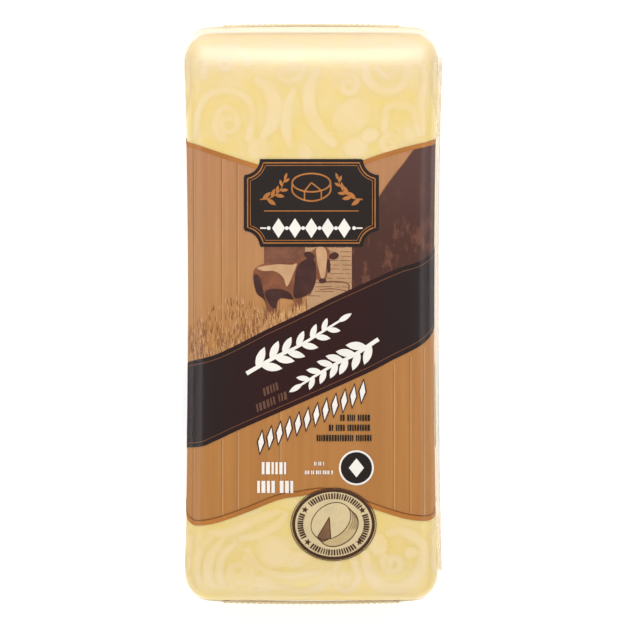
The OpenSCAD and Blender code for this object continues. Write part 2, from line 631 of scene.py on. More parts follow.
def make_clear_film():
    """Clear film: mostly see-through, a little milky, with a soft gloss, and a painted highlight: milky
    white over the head shoulder stands in for the softbox's reflection there.
    """
    recipe = Recipe("clear_film")
    creases = recipe.noise(14.0, 1.0, stretch=(1, 0.5, 1.4))
    slack = recipe.noise(30.0, 0.0)
    pull = recipe.noise(5.0, 1.0, stretch=(1, 0.08, 1))
    relief = recipe.bump(creases * 0.3 + slack + pull * 0.12, 0.3, 0.4)
    clear = recipe.node("ShaderNodeBsdfTransparent", inputs={"Color": (1.0, 0.995, 0.98, 1)})
    along = recipe.axis("Y")
    # Painted highlight: the film turns milky white over the head shoulder, in place of a brighter reflection
    # of the softbox.
    painted_head_highlight = recipe.mask(along, 55, 68)
    slack_end = recipe.mask(along, 72.8, 74.0)
    tone = recipe.blend(slack_end, linear(250, 243, 232), linear(246, 229, 194))
    milk = recipe.principled(Base_Color=tone, Roughness=0.6, Normal=relief)
    # Milkiness of the film, with the painted highlight over the head shoulder added in.
    milk_and_painted_highlight = 0.003 + painted_head_highlight * 0.25 + slack_end * 0.26
    base = recipe.node("ShaderNodeMixShader", inputs={0: milk_and_painted_highlight, 1: clear, 2: milk})
    gloss = recipe.node(
        "ShaderNodeBsdfAnisotropic", inputs={"Color": (1, 1, 1, 1), "Roughness": 0.28, "Normal": relief}
    )
    rim = recipe.node("ShaderNodeFresnel", inputs={"IOR": 1.45, "Normal": relief})
    across = recipe.axis("X")
    left_edge = 1 - recipe.mask(across, -33.2, -30.2)
    right_edge = recipe.mask(across, 30.8, 33.4)
    share = (0.06 + rim * 0.06) * (1 - left_edge * 0.75 - right_edge * 0.35)
    return recipe.surface(recipe.node("ShaderNodeMixShader", inputs={0: share, 1: base, 2: gloss}))


def make_seam_film(name, tone, past_tone, thickness):
    """Welded film: milkier than the rest, and warmer past the label's ends, where cheese is near."""
    recipe = Recipe(name)
    creases = recipe.noise(3.0, 3.0)
    relief = recipe.bump(creases, 0.1, 0.4)
    clear = recipe.node("ShaderNodeBsdfTransparent", inputs={"Color": (0.99, 0.985, 0.97, 1)})
    along = recipe.axis("Y")
    by_label = recipe.mask(along, -54, -52) * (1 - recipe.mask(along, 45, 47))
    shade = recipe.blend(by_label, past_tone, tone)
    milk = recipe.principled(Base_Color=shade, Roughness=0.3, Normal=relief)
    share = thickness + recipe.mask(creases, 0.35, 0.75) * 0.12
    return recipe.surface(recipe.node("ShaderNodeMixShader", inputs={0: share, 1: clear, 2: milk}))


def make_cheese():
    """Pale cheddar: faintly mottled curd, smooth where it was pressed and slightly moist."""
    recipe = Recipe("cheddar")
    curd = recipe.noise(7.0, 4.0, 0.55)
    fine = recipe.noise(0.9, 2.0)
    tint = recipe.ramp(curd, [
        (0.3, linear(242, 214, 128)),
        (0.5, linear(242, 216, 144)),
        (0.7, linear(242, 218, 158)),
    ])
    flecks = recipe.mask(fine, 0.55, 0.75)
    colour = recipe.blend(flecks * 0.25, tint, linear(242, 220, 170))
    relief = recipe.bump(curd * 0.6 + fine * 0.4, 0.25, 0.35)
    return recipe.surface(recipe.principled(
        Base_Color=colour, Roughness=0.42, Normal=relief,
        Subsurface_Weight=0.2, Subsurface_Radius=(1.0, 0.7, 0.3), Subsurface_Scale=0.003,
    ))


def make_scroll_ink(name, low, high):
    """Thin cream ink, a little paler than the cheese."""
    recipe = Recipe(name)
    uneven = recipe.noise(9.0, 2.0)
    shade = recipe.blend(recipe.mask(uneven, 0.35, 0.65), low, high)
    return recipe.surface(recipe.principled(Base_Color=shade, Roughness=0.5, Specular_IOR_Level=0.0))


def make_board_ink():
    """Tan print of upright boards: fine grain lines, redder at the head, yellower at the foot."""
    recipe = Recipe("board_ink")
    along = recipe.mask(recipe.axis("Y"), -50, 42)
    base = recipe.ramp(along, [
        (0.0, linear(188, 131, 72)),
        (0.45, linear(190, 134, 78)),
        (0.75, linear(194, 143, 94)),
        (1.0, linear(193, 140, 98)),
    ])
    grain = recipe.noise(1.3, 3.0, 0.6, stretch=(1, 0.03, 1))
    boards = recipe.noise(11.0, 1.0, stretch=(1, 0.02, 1))
    shade = recipe.mask(grain * 0.55 + boards * 0.45, 0.3, 0.72)
    lighter = recipe.blend(shade, (0.90, 0.87, 0.84, 1), (1.06, 1.06, 1.05, 1))
    colour = recipe.blend(1.0, base, lighter, "MULTIPLY")
    return recipe.surface(recipe.principled(Base_Color=colour, Roughness=0.55, Specular_IOR_Level=0.0))


def make_weathered_ink():
    """Dark reddish brown print of weathered wood in shadow, with short scratches low down."""
    recipe = Recipe("weathered_ink")
    along = recipe.mask(recipe.axis("Y"), 16, 40)
    scratch = recipe.noise(2.2, 4.0, 0.7, stretch=(1, 0.35, 1))
    streak = recipe.mask(scratch, 0.52, 0.64) * (1 - along)
    base = recipe.blend(along, linear(80, 46, 38), linear(90, 58, 53))
    colour = recipe.blend(streak * 0.6, base, linear(130, 84, 64))
    return recipe.surface(recipe.principled(Base_Color=colour, Roughness=0.55, Specular_IOR_Level=0.0))


def make_band_ink():
    """Near-black brown print, warmer in the middle of the front than at the sides."""
    recipe = Recipe("band_ink")
    across = recipe.axis("X")
    warm = recipe.mask(across, -30, -8) * (1 - recipe.mask(across, 8, 28))
    colour = recipe.blend(warm, linear(38, 23, 23), linear(48, 15, 15))
    return recipe.surface(recipe.principled(Base_Color=colour, Roughness=0.55, Specular_IOR_Level=0.0))


clear_film = make_clear_film()
seam_film = make_seam_film("seam_film", linear(250, 246, 238), linear(232, 210, 156), 0.3)
seam_edge_film = make_seam_film("seam_edge_film", linear(196, 188, 180), linear(222, 202, 156), 0.5)
crimp_film = make_seam_film("crimp_film", linear(250, 246, 238), linear(247, 230, 186), 0.6)
cheddar = make_cheese()
scroll_ink = make_scroll_ink("scroll_ink", linear(241, 216, 160), linear(242, 220, 173))
scroll_halo_ink = make_scroll_ink("scroll_halo_ink", linear(241, 216, 151), linear(241, 218, 164))
board_ink = make_board_ink()
weathered_ink = make_weathered_ink()
band_ink = make_band_ink()
white_ink = ink("white_ink", linear(248, 244, 238), 0.03)
black_ink = ink("black_ink", linear(34, 25, 22))
ochre_ink = ink("ochre_ink", linear(188, 120, 60), 0.12, 3.0)
border_ink = ink("border_ink", linear(185, 120, 56), 0.1, 9.0)
line_ink = ink("line_ink", linear(134, 80, 36), 0.08)
stamp_ink = ink("stamp_ink", linear(76, 46, 30), 0.12, 2.0)
parchment_ink = ink("parchment_ink", linear(222, 202, 160), 0.05, 4.0)
wall_ink = ink("wall_ink", linear(192, 152, 114), 0.1, 4.0)
plank_ink = ink("plank_ink", linear(128, 82, 62), 0.2, 2.5)
coat_ink = ink("coat_ink", linear(138, 84, 58), 0.25, 3.5)
hide_ink = ink("hide_ink", linear(206, 164, 124), 0.1, 3.0)
rind_ink = ink("rind_ink", linear(204, 180, 134), 0.08, 2.0)
straw_ink = ink("straw_ink", linear(210, 160, 108), 0.12, 3.0)
bark_ink = ink("bark_ink", linear(146, 94, 58), 0.15, 3.0)
joint_ink = ink("joint_ink", linear(168, 118, 76), 0.08)
board_light_ink = ink("board_light_ink", linear(202, 152, 100), 0.05)
shadow_ink = ink("shadow_ink", linear(74, 43, 38), 0.2, 3.0)
keyline_ink = ink("keyline_ink", linear(128, 82, 54), 0.1)
faint_ink = ink("faint_ink", linear(112, 76, 60), 0.1)
stamp_cut_ink = ink("stamp_cut_ink", linear(128, 94, 66), 0.15, 1.5)

# ---------------------------------------------------------------- cheese and film

cheese_skin = Skin(CHEESE_DEPTH, HEAD_GAP)
cheese_points, cheese_faces = closed_bar(cheese_skin, END_SWELL)
make_piece("cheese_block", cheese_points, cheese_faces, cheddar)

film_points, film_faces = closed_bar(FILM, END_SWELL)
film = make_piece("film", film_points, film_faces, clear_film)
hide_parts("sealed_pack")

# ---------------------------------------------------------------- the printed label

LABEL_RIGHT = 34.8
SEAM_LAP = 41.5
BORDER_WIDTH = 1.2
BACK_EDGE = (SEAM_LAP - float(FILM.girth(0))) / FILM_SHRINK

TOP_EDGE = [
    (BACK_EDGE, 48.0), (-80, 48.0), (-46, 46.9), (-40, 46.2), (-35.3, 45.5), (-30.4, 44.5), (-23.8, 42.3),
    (-13.1, 38.9), (0, 35.4), (10.2, 39.0), (17.2, 41.6), (24.2, 43.7), (30.6, 45.2), (LABEL_RIGHT, 46.2),
]
BOTTOM_EDGE = [
    (BACK_EDGE, -50), (-80, -50), (-43, -50.3), (-38.5, -51.6), (-35.4, -53.3), (-32.4, -54.9), (-30, -55.5),
    (-24.7, -54.7), (-16.7, -51.9), (-8.7, -48.7), (-3.5, -47.8), (3, -46.9), (9, -48.2), (16.1, -51),
    (24, -53.5), (28.4, -54.2), (31.4, -54.1), (33.8, -53.2), (LABEL_RIGHT, -51.4),
]
BAND_TOP = [
    (BACK_EDGE, -13.2), (-80, -13.2), (-40, -13.0), (-34.2, -12.6), (-27.2, -11.3), (-21.2, -8.9),
    (-12.2, -4.3), (-3.3, -0.1), (3.7, 3.4), (10.2, 6.4), (22.4, 11.8), (27.4, 13.4), (31, 15.3),
    (LABEL_RIGHT, 17.8),
]
BAND_BOTTOM = [
    (BACK_EDGE, -35.4), (-80, -35.4), (-40, -35.3), (-34, -35.1), (-28.8, -34.7), (-25.3, -33.3),
    (-18, -29.9), (-1, -22.5), (15, -15.3), (20.8, -12.3), (27.6, -8.9), (31, -6.6), (LABEL_RIGHT, -3.2),
]
SHADE_EDGE = [(26.9, 43.2), (24.2, 39.5), (22.1, 36.9), (20, 34.1), (17.8, 30.8), (14, 25), (11.2, 20)]
WALL_RIGHT = 10.6

top_edge = curve(TOP_EDGE, 0.8)
bottom_edge = curve(BOTTOM_EDGE, 0.8)
band_top = curve(BAND_TOP, 0.8)
band_bottom = curve(BAND_BOTTOM, 0.8)
shade_edge = curve(SHADE_EDGE, 0.8)


def between(upper, lower):
    """The field between two lines that both run to the right."""
    return np.vstack([upper, lower[::-1]])


def height_of(line, s):
    return float(np.interp(s, line[:, 0], line[:, 1]))


def shifted(line, distance):
    """A line moved sideways, to its left if the distance is positive."""
    tangent = np.gradient(line, axis=0)
    tangent /= np.linalg.norm(tangent, axis=1, keepdims=True)
    return line + distance * np.stack([-tangent[:, 1], tangent[:, 0]], axis=-1)


def make_fields():
    """The tan boards, the slanting band over them, and the weathered field at the upper right."""
    print_piece("label_field", [between(top_edge, bottom_edge)], LABEL_DEPTH, board_ink)
    print_piece("dark_band", [between(band_top, band_bottom)], BAND_DEPTH, band_ink)
    corner = [(WALL_RIGHT, 18), (WALL_RIGHT, 5), (LABEL_RIGHT, 12), (LABEL_RIGHT, 46)]
    roof = top_edge[top_edge[:, 0] > 27.2][::-1]
    field = np.vstack([shade_edge, spread(corner, 0.8), roof])
    print_piece("weathered_field", [field], SHADE_DEPTH, weathered_ink)
    print_piece("field_edge_line", ribbon(shade_edge, 0.2), PICTURE_DEPTH, bark_ink, filled=False)


def make_borders():
    """Borders along the label's ends, and fine lines beside them and inside the band."""
    borders = ribbon(shifted(top_edge, -BORDER_WIDTH / 2), BORDER_WIDTH)
    borders += ribbon(shifted(bottom_edge, BORDER_WIDTH / 2), BORDER_WIDTH)
    print_piece("label_border", borders, PICTURE_DEPTH, border_ink, filled=False)
    inner = ribbon(shifted(bottom_edge, BORDER_WIDTH + 0.1), 0.3)
    print_piece("border_line", inner, COW_DEPTH, line_ink, filled=False)
    keylines = ribbon(shifted(band_top, -1.2), 0.16) + ribbon(shifted(band_bottom, 1.2), 0.16)
    print_piece("band_keylines", keylines, PLAQUE_DEPTH, keyline_ink, filled=False)


def make_boards():
    """Joints between the printed boards: a dark line with a light one beside it."""
    front = [-23.6, -19.5, -8.3, 21.5, 25.8, 29.6]
    around = [-31.5 - 7.3 * i for i in range(12)]
    dark, light = [], []
    for s in front + around:
        upper = top_edge if s < WALL_RIGHT else band_bottom
        ends = [(s, height_of(upper, s) - BORDER_WIDTH), (s, height_of(bottom_edge, s) + BORDER_WIDTH)]
        joint = spread(ends, 2.0)
        dark += ribbon(joint, 0.26)
        light += ribbon(joint + np.array([0.32, 0]), 0.3)
    print_piece("board_joints", dark, SHADE_DEPTH, joint_ink, filled=False)
    print_piece("board_lights", light, LIGHT_DEPTH, board_light_ink, filled=False)


# ---------------------------------------------------------------- the picture on the label

COW = [
    (-15.3, 9.6), (-14.7, 12.0), (-11.5, 13.3), (-7.0, 13.2), (-3.4, 14.2), (-0.6, 16.0), (1.6, 17.5),
    (3.6, 17.6), (4.9, 16.2), (4.9, 13.2), (4.2, 10.4), (3.6, 8.4), (2.4, 8.0), (1.5, 9.2), (0.8, 7.4),
    (-0.4, 5.0), (-2.4, 4.2), (-2.6, 1.4), (-4.4, 1.0), (-5.0, 3.8), (-8.4, 4.0), (-9.3, 0.4), (-11.4, -0.4),
    (-12.2, 3.6), (-14.2, 5.2), (-14.6, 7.6),
]
COW_BACK = [
    (-14.2, 12.2), (-9, 13.0), (-5.2, 12.9), (-3.8, 13.2), (-4.8, 10.4), (-6.4, 7.2), (-7.4, 9.6),
    (-9.6, 11.2), (-12.6, 11.3),
]
COW_FACE = [
    (1.4, 17.3), (3.4, 17.4), (4.1, 15.4), (3.9, 12.4), (3.5, 9.8), (2.6, 9.4), (2.0, 11.4), (1.4, 14.4),
]
COW_RUMP = [
    (-15.2, 9.6), (-14.2, 10.4), (-13.2, 8.6), (-12.4, 5.0), (-11.4, 0.2), (-12.3, 3.6), (-14.4, 5.6),
]
COW_CHEST = [
    (-3.6, 12.6), (-0.8, 14.6), (1.0, 13.6), (1.2, 9.6), (0.4, 6.6), (-2.0, 4.6), (-4.6, 4.4), (-4.4, 8.6),
]
COW_BELLY = [
    (-12.2, 5.8), (-9.2, 6.6), (-6, 5.8), (-4.8, 4.2), (-5.0, 3.8), (-8.4, 4.0), (-9.5, 1.4), (-11, 2.6),
]


def make_barn():
    """A barn wall behind the cow, with cracks between its boards and a bent rail."""
    wall = [(-1.6, 19.5), (WALL_RIGHT, 19.5), (WALL_RIGHT, 4), (-1.6, -1)]
    boards = [(-12.4, 19.5), (-1.6, 19.5), (-1.6, 12.4), (-12.4, 12.0)]
    print_piece("barn_wall", [spread(wall, 1.5, closed=True)], BARN_DEPTH, wall_ink)
    print_piece("barn_boards", [spread(boards, 1.5, closed=True)], BARN_DEPTH, plank_ink)
    chance = random.Random(4)
    seams = []
    for row in range(13):
        v = 18.6 - 1.15 * row
        s = -1.4 + chance.random()
        while s < WALL_RIGHT - 0.6:
            run = chance.uniform(1.2, 5.0)
            end = min(s + run, WALL_RIGHT - 0.2)
            if v > height_of(band_top, end) and end - s > 0.4:
                seams += ribbon(spread([(s, v), (end, v + chance.uniform(-0.12, 0.12))], 1.0), 0.14)
            s = end + chance.uniform(0.3, 1.2)
    for row in range(5):
        v = 18.2 - 1.3 * row
        seams += ribbon(spread([(-12.2, v), (-1.8, v + 0.15)], 1.0), 0.12)
    rail = [(2.6, 8.3), (6.2, 8.5), (9.4, 8.1), (9.9, 6.8), (9.6, 5.6)]
    seams += ribbon(curve(rail, 0.6), 0.34) + ribbon(curve([(2.2, 6.4), (5.6, 6.6), (9.6, 6.0)], 0.6), 0.2)
    print_piece("barn_seams", seams, PICTURE_DEPTH, plank_ink, filled=False)


def make_cow():
    """A brown cow with a pale face and back, in flat shapes."""
    print_piece("cow_body", [curve(COW, 0.5, closed=True)], COW_DEPTH, coat_ink)
    pale = [curve(COW_BACK, 0.5, closed=True), curve(COW_FACE, 0.5, closed=True)]
    print_piece("cow_patches", pale, PATCH_DEPTH, hide_ink, filled=False)
    dark = [curve(line, 0.5, closed=True) for line in (COW_RUMP, COW_CHEST, COW_BELLY)]
    dark += [ellipse((-0.5, 15.3), 1.5, 0.9, -25, 0.4), ellipse((5.9, 15.2), 1.3, 0.9, 15, 0.4)]
    dark += [ellipse((2.9, 8.7), 1.0, 0.6, step=0.4), ellipse((4.5, 12.6), 0.5, 1.9, 4, 0.4)]
    print_piece("cow_shadow", dark, BAND_DEPTH, shadow_ink, filled=False)


def make_grass():
    """Short pale and dark blades that grow along the dark band, taller towards the left."""
    chance = random.Random(11)
    pale, dark = [], []
    for _ in range(900):
        s = chance.uniform(-43, -1)
        tall = 10 + 3 * math.sin(s * 0.21)
        reach = tall * min(1.0, max(0.25, (-s - 1) / 18))
        rise = chance.random() ** 1.7 * reach
        foot = height_of(band_top, s) - 0.4 + rise
        length = chance.uniform(0.9, 2.6)
        lean = chance.uniform(-0.5, 0.5)
        blade = curve([(s, foot), (s + 0.3 * lean, foot + length / 2), (s + lean, foot + length)], 0.8)
        made = ribbon(blade, tapering(chance.uniform(0.16, 0.34)))
        if chance.random() < 0.55:
            pale += made
        else:
            dark += made
    print_piece("pale_grass", pale, GRASS_DEPTH, straw_ink, filled=False)
    print_piece("dark_grass", dark, PICTURE_DEPTH, bark_ink, filled=False)


# ---------------------------------------------------------------- plates, ornaments and marks

PLAQUE_MIDDLE = np.array([0.0, 29.1])
PLAQUE_SIZE = (35.4, 23.0)
PLAQUE_NOTCH = 4.2


def ticket(inset=0.0):
    """The plaque's outline, with corners cut away by quarter circles, or a line that far inside it."""
    width, height = PLAQUE_SIZE
    radius = PLAQUE_NOTCH + inset
    trim = math.degrees(math.asin(inset / radius))
    points = []
    for quarter, (x, y) in enumerate([(1, 1), (-1, 1), (-1, -1), (1, -1)]):
        for i in range(9):
            a = math.radians(270 + 90 * quarter - trim - (90 - 2 * trim) * i / 8)
            points.append((x * width / 2 + radius * math.cos(a), y * height / 2 + radius * math.sin(a)))
    return np.array(points) + PLAQUE_MIDDLE


def leaf(base, angle, length, width):
    """A pointed leaf that grows from its base."""
    half = [(0, 0), (0.22, 0.36), (0.5, 0.5), (0.78, 0.34), (1, 0)]
    upper = [(x * length, y * width) for x, y in half]
    lower = [(x, -y) for x, y in upper[1:-1]]
    outline = np.vstack([curve(upper, 0.45), curve([upper[-1], *lower[::-1], upper[0]], 0.45)[1:-1]])
    return turned(outline, angle) + np.asarray(base, float)


def sprig(points, pairs, length, width, stem):
    """A stem with leaves on both sides and one at its tip."""
    line = curve(points, 0.6)
    shapes = ribbon(line, tapering(stem, 0.5))
    for i in range(pairs):
        t = 0.12 + 0.8 * i / (pairs - 0.5)
        index = int(t * (len(line) - 2))
        step = line[index + 1] - line[index]
        heading = math.degrees(math.atan2(step[1], step[0]))
        size = 1 - 0.45 * t
        for side in (1, -1):
            place = line[min(index + (2 if side < 0 else 0), len(line) - 1)]
            shapes.append(leaf(place, heading + side * 38, length * size, width * size))
    step = line[-1] - line[-2]
    heading = math.degrees(math.atan2(step[1], step[0]))
    shapes.append(leaf(line[-1] - step, heading, length * 0.7, width * 0.6))
    return shapes


def make_plaque():
    """A black plate with a cut cheese between sprigs, over a row of lozenges."""
    print_piece("plaque", [spread(ticket(), 0.8, closed=True)], PLAQUE_DEPTH, black_ink)
    lines = ribbon(looped(ticket(1.0)), 0.3) + ribbon(looped(ticket(1.7)), 0.15)
    lines += ribbon(spread([(-12.4, 27.0), (12.4, 27.0)], 2.0), 0.25)
    wheel = PLAQUE_MIDDLE + (0, 5.3)
    lines += ribbon(looped(ellipse(wheel, 5.0, 2.4, step=0.5)), 0.42)
    side = [(-5.0, 34.4), (-4.9, 31.9), (-2.8, 30.2), (0, 29.6), (2.8, 30.2), (4.9, 31.9), (5.0, 34.4)]
    lines += ribbon(curve(side, 0.5), 0.42)
    for rim_point in ((-1.8, 29.9), (2.6, 30.1)):
        top = (rim_point[0], rim_point[1] + 2.3)
        lines += ribbon(spread([wheel, top, rim_point], 0.6), 0.36)
    for hand in (-1, 1):
        stem = [(hand * 13.4, 30.0), (hand * 10.8, 30.4), (hand * 8.2, 32.4), (hand * 6.9, 35.6)]
        lines += sprig(stem, 4, 3.0, 1.2, 0.34)
    print_piece("plaque_lines", lines, MARKS_DEPTH, ochre_ink, filled=False)
    row = [diamond((x, 22.5), 3.4, 5.2) for x in (-8.6, -4.3, 0, 4.3, 8.6)]
    row += [ellipse((x, 22.5), 0.5, 0.5, step=0.35) for x in (-11.2, -6.45, -2.15, 2.15, 6.45, 11.2)]
    row += [bar((x, 22.5), 1.6, 0.4) for x in (-12.6, 12.6)]
    print_piece("plaque_row", row, MARKS_DEPTH, white_ink, filled=False)


def make_title():
    """Two bold white sprigs on the dark band."""
    shapes = sprig([(-17.0, -15.6), (-10, -11.6), (-3, -8.2), (7.4, -1.8)], 6, 6.2, 2.3, 1.1)
    shapes += sprig([(17.6, -6.6), (11.4, -10.6), (5, -13.8), (-2.8, -18.6)], 6, 6.0, 2.3, 1.1)
    print_piece("white_sprigs", shapes, MARKS_DEPTH, white_ink, filled=False)


def marks(left, right, v, height, pitch, chance, slope=0.0, lean=0.0):
    """A row of plain upright blocks of uneven width, with gaps, like a line of small print."""
    blocks = []
    s = left
    while s < right - 0.3 * pitch:
        width = chance.uniform(0.3, 0.62) * pitch
        rise = (s - left) * math.tan(math.radians(slope))
        blocks.append(bar((s + width / 2, v + rise), width, height, slope, lean))
        s += width + pitch * (0.75 if chance.random() < 0.15 else 0.24)
    return blocks


def make_small_print():
    """Plain blocks in the places of the label's small print."""
    chance = random.Random(7)
    dark = marks(7.6, 15.8, -27.2, 1.6, 0.95, chance)
    dark += marks(4.6, 15.8, -29.8, 1.6, 0.95, chance)
    dark += marks(1.4, 15.8, -32.5, 1.6, 0.95, chance)
    print_piece("dark_marks", dark, MARKS_DEPTH, black_ink, filled=False)
    white = marks(-13.0, -6.0, -40.4, 3.2, 1.7, chance)
    white += marks(-14.2, -3.9, -45.3, 3.2, 1.7, chance)
    white += marks(0.7, 3.3, -39.2, 1.0, 0.7, chance)
    white += marks(-1.7, 5.7, -41.5, 1.0, 0.7, chance)
    print_piece("white_marks", white, MARKS_DEPTH, white_ink, filled=False)
    faint = marks(-12.6, -8.4, -20.4, 2.0, 1.2, chance, 24, 0.25)
    faint += marks(-14.4, -6.2, -24.6, 2.0, 1.2, chance, 24, 0.25)
    print_piece("faint_marks", faint, MARKS_DEPTH, faint_ink, filled=False)


def make_caption():
    """A slanting row of slender white lozenges with dark outlines."""
    start, end, count = np.array([-13.2, -33.6]), np.array([13.4, -20.3]), 12
    middles = [start + (end - start) * i / (count - 1) for i in range(count)]
    white = [diamond(middle, 1.5, 5.4, tilt=-6) for middle in middles]
    dark = [diamond(middle, 2.3, 7.0, tilt=-6) for middle in middles]
    print_piece("caption_row", white, MARKS_DEPTH, white_ink, filled=False)
    print_piece("caption_outlines", dark, PATCH_DEPTH, shadow_ink, filled=False)


def make_seal():
    """A plain disc with a white rim and a lozenge."""
    middle = np.array([11.8, -40.3])
    print_piece("seal_rim", [ellipse(middle, 4.6, 4.6)], BAND_DEPTH, white_ink)
    print_piece("seal_disc", [ellipse(middle, 4.1, 4.1)], PATCH_DEPTH, black_ink)
    print_piece("seal_mark", [diamond(middle, 4.0, 5.0)], MARKS_DEPTH, white_ink, filled=False)


def star(middle, radius, tilt):
    points = []
    for i in range(10):
        r = radius if i % 2 == 0 else radius * 0.42
        a = math.radians(tilt + 36 * i)
        points.append((r * math.cos(a), r * math.sin(a)))
    return np.array(points) + middle


STAMP_MIDDLE = np.array([5.8, -55.1])
STAMP_SIZE = np.array([11.3, 9.6])

WHEEL_MIDDLE = STAMP_MIDDLE + (-0.7, 0.9)
WHEEL_SIZE = (5.7, 4.2)
WHEEL_TILT = 38
WALL_SHIFT = np.array([2.0, -1.9])


def stamp_ring(share, step=0.62):
    return ellipse(STAMP_MIDDLE, *(STAMP_SIZE * share), step=step)


def wheel_edge(share, first=-173.7, last=6.3):
    """The wheel's edge on its near side, a share of the way down its wall."""
    turn = np.radians(np.linspace(first, last, 40))
    edge = np.stack([WHEEL_SIZE[0] * np.cos(turn), WHEEL_SIZE[1] * np.sin(turn)], axis=-1)
    return turned(edge, WHEEL_TILT) + WHEEL_MIDDLE + WALL_SHIFT * share


def make_stamp():
    """A round stamp: rings, stars, radial marks and a plain drawing of a cut cheese."""
    print_piece("stamp_face", [stamp_ring(0.93)], GRASS_DEPTH, parchment_ink)
    lines = ribbon(looped(stamp_ring(0.99)), 0.16) + ribbon(looped(stamp_ring(0.925)), 0.78)
    chance = random.Random(3)
    for first, last in ((38, 138), (160, 208), (230, 312), (-34, 22)):
        a = first
        while a < last:
            width = chance.uniform(0.28, 0.5)
            turn = math.radians(a)
            place = STAMP_MIDDLE + STAMP_SIZE * 0.77 * np.array([math.cos(turn), math.sin(turn)])
            lines.append(bar(place, width, 1.5, a - 90))
            a += 3.2 + 3.6 * width
    for a in (30, 149, 219, 321):
        turn = math.radians(a)
        place = STAMP_MIDDLE + STAMP_SIZE * 0.77 * np.array([math.cos(turn), math.sin(turn)])
        lines.append(star(place, 0.95, a))
    lines += ribbon(looped(ellipse(WHEEL_MIDDLE, *WHEEL_SIZE, WHEEL_TILT, 0.5)), 0.18)
    lines += ribbon(wheel_edge(1.0), 0.22)
    for share in (0.3, 0.5, 0.68, 0.85):
        lines += ribbon(wheel_edge(share, -75 + 25 * share, -4), 0.09)
    for angle in (-173.7, 6.3):
        lines += ribbon([wheel_edge(0, angle, angle)[0], wheel_edge(1, angle, angle)[0]], 0.18)
    cut = WHEEL_MIDDLE + np.array([(-0.4, 1.0), (-3.5, -4.2), (-2.1, -5.5), (0.0, -4.5)])
    lines += ribbon(spread(looped(cut), 0.6), 0.2)
    print_piece("stamp_lines", lines, MARKS_DEPTH, stamp_ink, filled=False)
    wall = [ellipse(WHEEL_MIDDLE + WALL_SHIFT * i / 6, *WHEEL_SIZE, WHEEL_TILT) for i in range(1, 7)]
    print_piece("stamp_wall", wall, BAND_DEPTH, rind_ink)
    top = [ellipse(WHEEL_MIDDLE, *WHEEL_SIZE, WHEEL_TILT)]
    print_piece("stamp_wheel", top, PATCH_DEPTH, parchment_ink)
    print_piece("stamp_cut", [cut], PLAQUE_DEPTH, stamp_cut_ink, filled=False)


# ---------------------------------------------------------------- the scroll print


def head_scrolls():
    """Pale pen strokes over the cheese at the head end."""
    strokes = [
        (spiral((-21.9, 50.2), 3.9, 1.7, -95, -1, 1.25), 1.1),
        (curve([
            (-30.6, 46), (-30, 52), (-27.5, 57), (-22.5, 58.8), (-17.5, 57), (-15.4, 52), (-16.8, 45),
        ]), 1.2),
        (curve([(-14.8, 61.8), (-11, 58.6), (-9.6, 54), (-10.6, 49.5), (-13.2, 46)]), swelling(3.4)),
        (curve([(-3.2, 64.6), (-6.2, 64.4), (-8.6, 62.8), (-6.6, 60.9), (-3.6, 61.6), (-1.8, 65.4)]), 1.0),
        (curve([(-4.4, 59.5), (-6.4, 54), (-6.6, 48.5), (-5.4, 43)]), swelling(2.0)),
        (curve([(1.9, 64.6), (-0.4, 59), (-0.3, 53), (2.4, 48), (6.6, 44)]), swelling(2.8, 0.4)),
        (spiral((9.7, 60), 3.1, 1.5, 150, -1), 1.0),
        (curve([(13.6, 66.6), (15, 61), (19.6, 58.2), (24.2, 60.2), (25.6, 66.4)]), 1.7),
        (curve([(16.8, 64.8), (20, 62.2), (23.2, 65.2)]), 0.8),
        (curve([(19.4, 47.4), (19.5, 53.2), (21.4, 54.7), (26, 54.2), (27.4, 50.6), (28.6, 46.6)]), 1.3),
        (curve([(29.4, 47), (28.8, 55), (29.8, 62), (27.6, 68)]), swelling(1.8)),
        (spiral((20.7, 44.4), 2.6, 1.2, 60, 1), 1.1),
        (curve([(-28.5, 61.5), (-27.2, 67.5), (-22.5, 70.5), (-17.5, 68.6), (-16.4, 65)]), 1.3),
        (spiral((-22.4, 65.6), 2.4, 1.3, 20, 1), 0.9),
        (curve([(-13.6, 66), (-10.5, 70), (-5.6, 70.8), (-1.6, 68.4)]), swelling(1.8, 0.4)),
        (spiral((4.6, 69), 2.3, 1.4, 200, -1), 0.9),
        (curve([(8.2, 66), (10.5, 70.5), (15.5, 71.4), (19.5, 69.6)]), 1.2),
        (curve([(21.6, 70.6), (25.4, 71.4), (28.4, 68.6)]), swelling(1.6)),
    ]
    lobes = [
        ellipse((10.7, 52), 4.6, 3.3, 35),
        ellipse((-13.8, 43.2), 2.9, 2.3),
        ellipse((11.6, 43.6), 2.7, 2.3),
        ellipse((15.3, 46.8), 2.0, 1.6, 20),
        ellipse((-1.8, 42.2), 1.6, 2.6, 15),
        ellipse((25.4, 47.2), 1.4, 2.0, 20),
    ]
    return strokes, lobes


